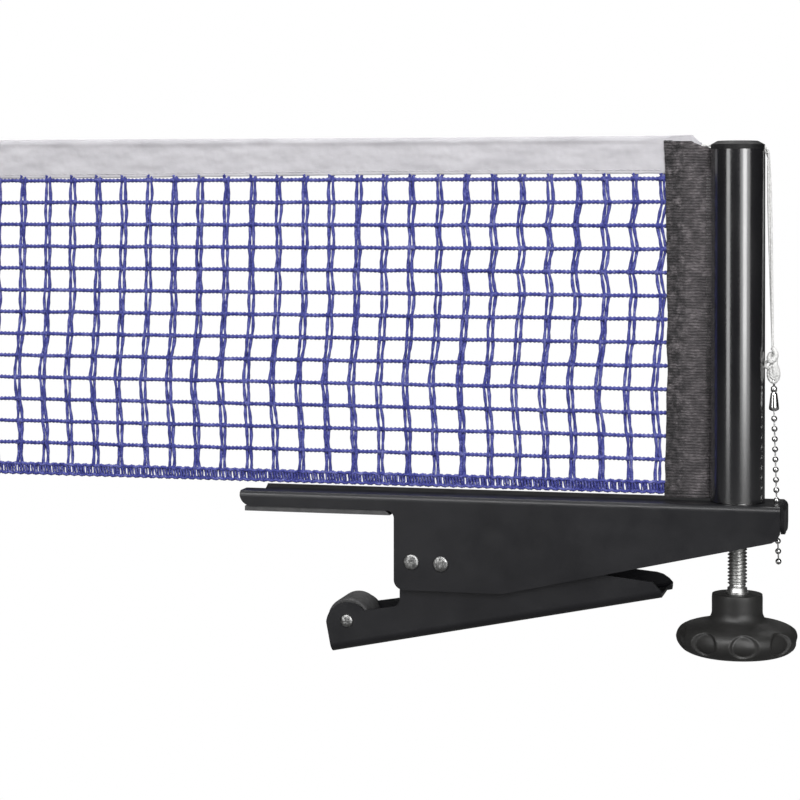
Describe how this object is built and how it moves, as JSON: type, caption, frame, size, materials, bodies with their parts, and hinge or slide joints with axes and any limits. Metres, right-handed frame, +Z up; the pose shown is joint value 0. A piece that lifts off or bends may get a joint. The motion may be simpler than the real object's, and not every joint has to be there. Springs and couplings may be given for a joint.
{
  "type": "table tennis net clamp",
  "caption": "Spring clamp for a table edge, with a net post raised by a knob and screw, and a stretch of table tennis net held by a cord and ball chain.",
  "frame": {"origin": "middle of the width of the jaw pad's underside, 31.4 mm inboard of the jaw's upright edge, where the clamp sits on the table top", "axes": "+X outboard, away from the table, along the clamp; +Y across the clamp; +Z up"},
  "size_m": [0.3482, 0.0478, 0.2095],
  "materials": {
    "powder_coated_steel": "satin",
    "jaw_rubber": "matte",
    "roller_rubber": "matte",
    "black_plastic": "satin",
    "post_paint": "gloss",
    "plated_steel": "bright",
    "spring_steel": "satin",
    "brass": "satin",
    "white_tape": "matte",
    "blue_net": "matte",
    "dark_webbing": "matte",
    "white_cord": "matte",
    "bright_chain": "bright"
  },
  "bodies": {
    "clamp_frame": {"frame_channel": "powder_coated_steel", "jaw_pad": "jaw_rubber", "guide_spigot": "plated_steel", "weld_nut": "plated_steel", "pivot_rivet": "plated_steel", "stop_rivet": "plated_steel", "torsion_spring": "spring_steel", "cord_knot": "white_cord", "chain_connector": "bright_chain", "ball_chain": "bright_chain", "chain_links": "bright_chain"},
    "lever": {"lever_channel": "powder_coated_steel", "pivot_bush": "plated_steel", "roller_axle": "plated_steel", "roller_washers": "plated_steel"},
    "roller": {"roller_hub": "black_plastic", "roller_tyre": "roller_rubber"},
    "post": {"post_tube": "post_paint", "post_cap": "black_plastic", "post_foot_plug": "plated_steel", "net_tape": "white_tape", "net_mesh": "blue_net", "net_bottom_band": "blue_net", "net_end_sleeve": "dark_webbing", "sleeve_batten": "black_plastic", "net_cord": "white_cord"},
    "height_knob": {"height_screw": "plated_steel", "thrust_washer": "plated_steel", "retaining_ring": "spring_steel", "screw_collar": "plated_steel", "knob_insert": "brass", "knob": "black_plastic"}
  },
  "joints": [
    {"name": "lever_pivot", "type": "hinge", "parent": "clamp_frame", "child": "lever", "pos_m": [0.0387, 0, -0.0184], "axis": [0, 1, 0], "range_deg": [-8, 30], "stiffness_Nm_per_rad": 1.5, "deforming": ["torsion_spring"]},
    {"name": "roller_spin", "type": "hinge", "parent": "lever", "child": "roller", "pos_m": [0.0113, 0, -0.0436], "axis": [0, 1, 0], "continuous": true},
    {"name": "height_slide", "type": "slide", "parent": "clamp_frame", "child": "post", "axis": [0, 0, 1], "range_m": [0, 0.01]},
    {"name": "knob_turn", "type": "hinge", "parent": "post", "child": "height_knob", "pos_m": [0.1675, 0, 0], "axis": [0, 0, 1], "range_deg": [0, 2553.2]}
  ],
  "couplings": [
    {"joint": "knob_turn", "follows": "height_slide", "rad_per_m": 4456.2}
  ]
}
